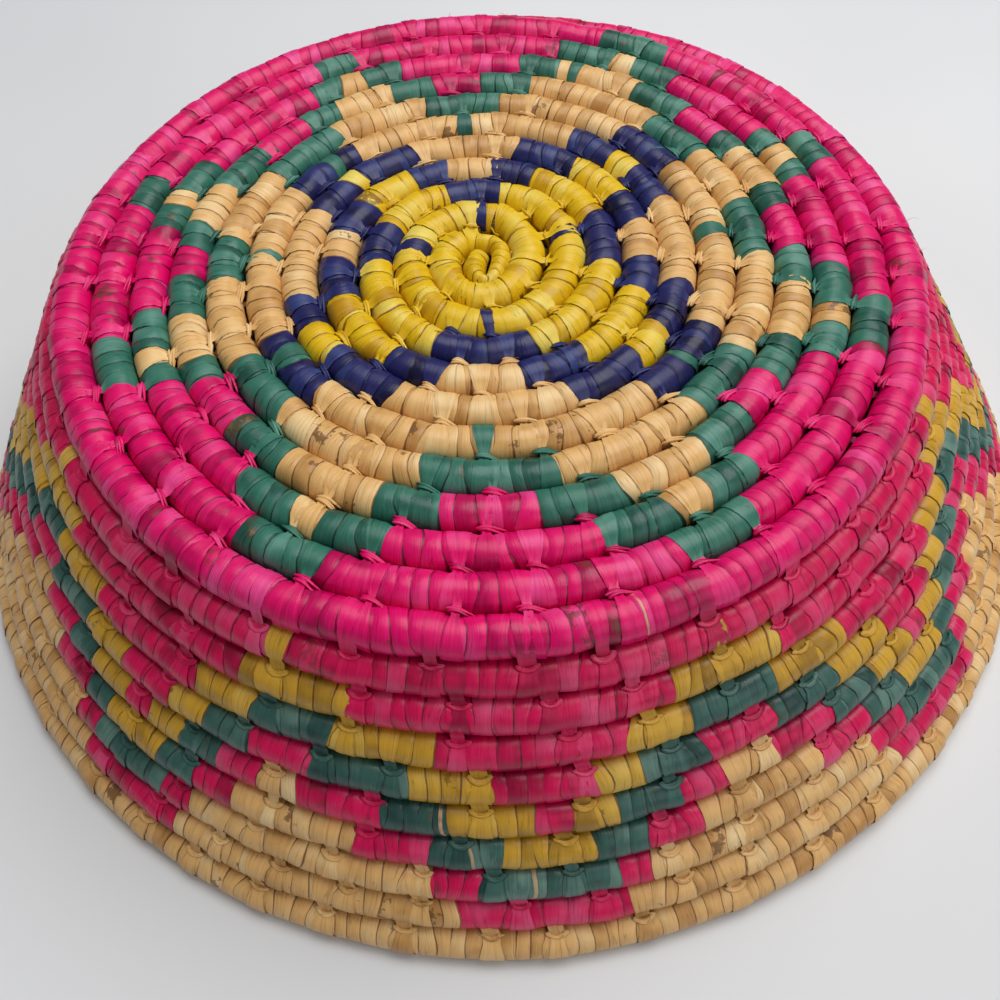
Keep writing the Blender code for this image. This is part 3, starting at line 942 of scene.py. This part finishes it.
def dryGrass():
    # dry stems: dull straw colour, each stem its own tone
    material, tree, shader = newMaterial("drySplitGrassStems")
    uv = addNode(tree, "UVMap", {"uv_map": "strip"}, {})
    aroundIt, alongIt = addNode(tree, "SeparateXYZ", {}, (uv,)).outputs[:2]
    stemX = addNode(tree, "Math", multiply, (aroundIt, bundleLook["stems"]))
    at = addNode(tree, "CombineXYZ", {}, (stemX, alongIt))
    stems = addNode(tree, "TexNoise", {}, {"Vector": at, "Scale": 1.0, "Detail": 2.0})
    tone = addNode(tree, "MapRange", eased, (stems, 0.3, 0.7))
    colour = addNode(tree, "Mix", blend, {0: tone, 6: toLinear("7A5A30"), 7: toLinear("C0A068")})
    tree.links.new(colour.outputs[2], shader.inputs["Base Color"])
    shader.inputs["Roughness"].default_value = 0.7
    bump = addNode(tree, "Bump", {}, {"Strength": 0.5, "Distance": 0.3 * mm, "Height": stems})
    tree.links.new(bump.outputs[0], shader.inputs["Normal"])
    return material


def grassBundle():
    sides = bundleLook["sides"]
    angles = np.arange(sides) / sides * turn
    stem = np.where(np.arange(sides) % 2, 0, -bundleLook["stem"])
    rings = []
    for row in range(1, allRows + 1):
        end = coil["handOver"] + (0 if row < allRows else -coil["rampHalf"])
        azimuths = np.linspace(coil["handOver"] - turn, end, bundleLook["steps"], endpoint=row == allRows)
        for azimuth in azimuths:
            lift = bundleLook["radius"] - rowLook["radius"] + stem
            rings.append(skinPoint(row, np.full(sides, azimuth), angles, lift))
    faces, uvs = [], []
    for ring in range(len(rings) - 1):
        for side in range(sides):
            after = (side + 1) % sides
            near, far = ring * sides, (ring + 1) * sides
            faces.append([near + side, far + side, far + after, near + after])
            left, right = side / sides, (side + 1) / sides
            low, high = ring * 0.1, ring * 0.1 + 0.1
            uvs += [(left, low), (left, high), (right, high), (right, low)]
    last = (len(rings) - 1) * sides
    faces += [list(range(sides)), list(range(last, last + sides))[::-1]]
    uvs += [(0.5, 0.5)] * sides * 2
    points = np.concatenate(rings)
    traits = np.tile([0.5, 0, 0], (len(points), 1))
    piece = makePiece("grassBundle", points, faces, [0] * len(faces), uvs, traits, [dryGrass()])
    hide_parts("foundation_coil")


grassBundle()
print("grass bundle laid")

# White cloth, flat, as the floor.
stageLook = {
    "size": 12.0,
    "cloth": "DFE0E1",
    "clothShade": "DADBDD",
    "fadeAround": (0.25, 0.3, 0),  # under the lamp overhead
    "fadeFrom": 0.5,              # past this distance from there the floor fades to a plain pale ground
    "fadeTo": 1.5,
    "fade": 0.5,
}


def whiteCloth():
    # bleached cotton: matt, off-white, a little uneven
    material, tree, shader = newMaterial("bleachedCotton")
    place = addNode(tree, "TexCoord", {}, {}).outputs["Object"]
    clouds = addNode(tree, "TexNoise", {}, {"Vector": place, "Scale": 6.0, "Detail": 1.0})
    tone = addNode(tree, "MapRange", eased, (clouds, 0.3, 0.7))
    colour = addNode(tree, "Mix", blend, {
        0: tone, 6: toLinear(stageLook["clothShade"]), 7: toLinear(stageLook["cloth"])})
    tree.links.new(colour.outputs[2], shader.inputs["Base Color"])
    shader.inputs["Roughness"].default_value = 0.9
    seen = addNode(tree, "LightPath", {}, {}).outputs["Is Camera Ray"]
    away = addNode(tree, "VectorMath", {"operation": "DISTANCE"}, (place, stageLook["fadeAround"]))
    near, far = stageLook["fadeFrom"], stageLook["fadeTo"]
    fade = addNode(tree, "MapRange", eased, (away.outputs["Value"], near, far, 0.0, stageLook["fade"]))
    glow = addNode(tree, "Math", multiply, (fade, seen))
    tree.links.new(glow.outputs[0], shader.inputs["Emission Strength"])
    shader.inputs["Emission Color"].default_value = toLinear("F6F7F8")
    return material


deselectAll()
bpy.ops.mesh.primitive_plane_add(size=stageLook["size"], location=(0, 0, 0))
floor = bpy.context.active_object
floor.name = "clothFloor"
floor.data.materials.append(whiteCloth())

# Lamps: a wide soft one overhead, a little behind and to the right, and a weaker one in front.
lampLook = {
    "lamps": {
        "over": {"place": (0.25, 0.3, 1.05), "size": 1.0, "power": 12.6},
        "front": {"place": (0.55, -0.75, 0.6), "size": 0.8, "power": 2.3},
    },
    "aim": (0, 0, 0.03),
    "world": 0.17,
    "seen": 0.62,                 # how bright the room behind the floor looks
}
for name, look in lampLook["lamps"].items():
    data = bpy.data.lights.new(name + "Lamp", "AREA")
    data.size = look["size"]
    data.energy = look["power"]
    lamp = bpy.data.objects.new(name + "Lamp", data)
    lamp.location = look["place"]
    towards = Vector(lampLook["aim"]) - Vector(look["place"])
    lamp.rotation_euler = towards.to_track_quat("-Z", "Y").to_euler()
    scene.collection.objects.link(lamp)
world = bpy.data.worlds.new("softRoom")
world.use_nodes = True
tree = world.node_tree
background = tree.nodes["Background"]
background.inputs["Color"].default_value = toLinear("F2F4F8")
seen = addNode(tree, "LightPath", {}, {}).outputs["Is Camera Ray"]
dim, bright = lampLook["world"], lampLook["seen"]
strength = addNode(tree, "Math", multiplyAdd, (seen, bright - dim, dim))
tree.links.new(strength.outputs[0], background.inputs["Strength"])
scene.world = world

# The camera, from a fit of the photograph's rows: lens and sensor in millimetres, angles in radians,
# and the distance and the point it aims at in row pitches from the middle of the base.
cameraLook = {
    "lens": 36.81,
    "sensor": 36,
    "elevation": 0.99326,
    "roll": -0.02944,
    "away": 23.507,
    "target": (0.3365, -7.6474),
}


def placeCamera():
    rise, roll = cameraLook["elevation"], cameraLook["roll"]
    up = Vector((0, sin(rise), cos(rise)))
    forward = Vector((0, cos(rise), -sin(rise)))
    side = Vector((1, 0, 0))
    rolledSide = cos(roll) * side + sin(roll) * up
    rolledUp = -sin(roll) * side + cos(roll) * up
    target = Vector((*cameraLook["target"], 0)) - cameraLook["away"] * forward
    shift = Vector((-coil["rimShift"][0], -coil["rimShift"][1], baseMiddleZ))
    data = bpy.data.cameras.new("photoCamera")
    data.lens = cameraLook["lens"]
    data.sensor_width = cameraLook["sensor"]
    data.clip_start = 0.01
    camera = bpy.data.objects.new("photoCamera", data)
    turned = Matrix((rolledSide, rolledUp, -forward)).transposed().to_4x4()
    camera.matrix_world = Matrix.Translation(target * coil["rowPitch"] + shift) @ turned
    scene.collection.objects.link(camera)
    scene.camera = camera


placeCamera()
scene.view_settings.view_transform = "Standard"
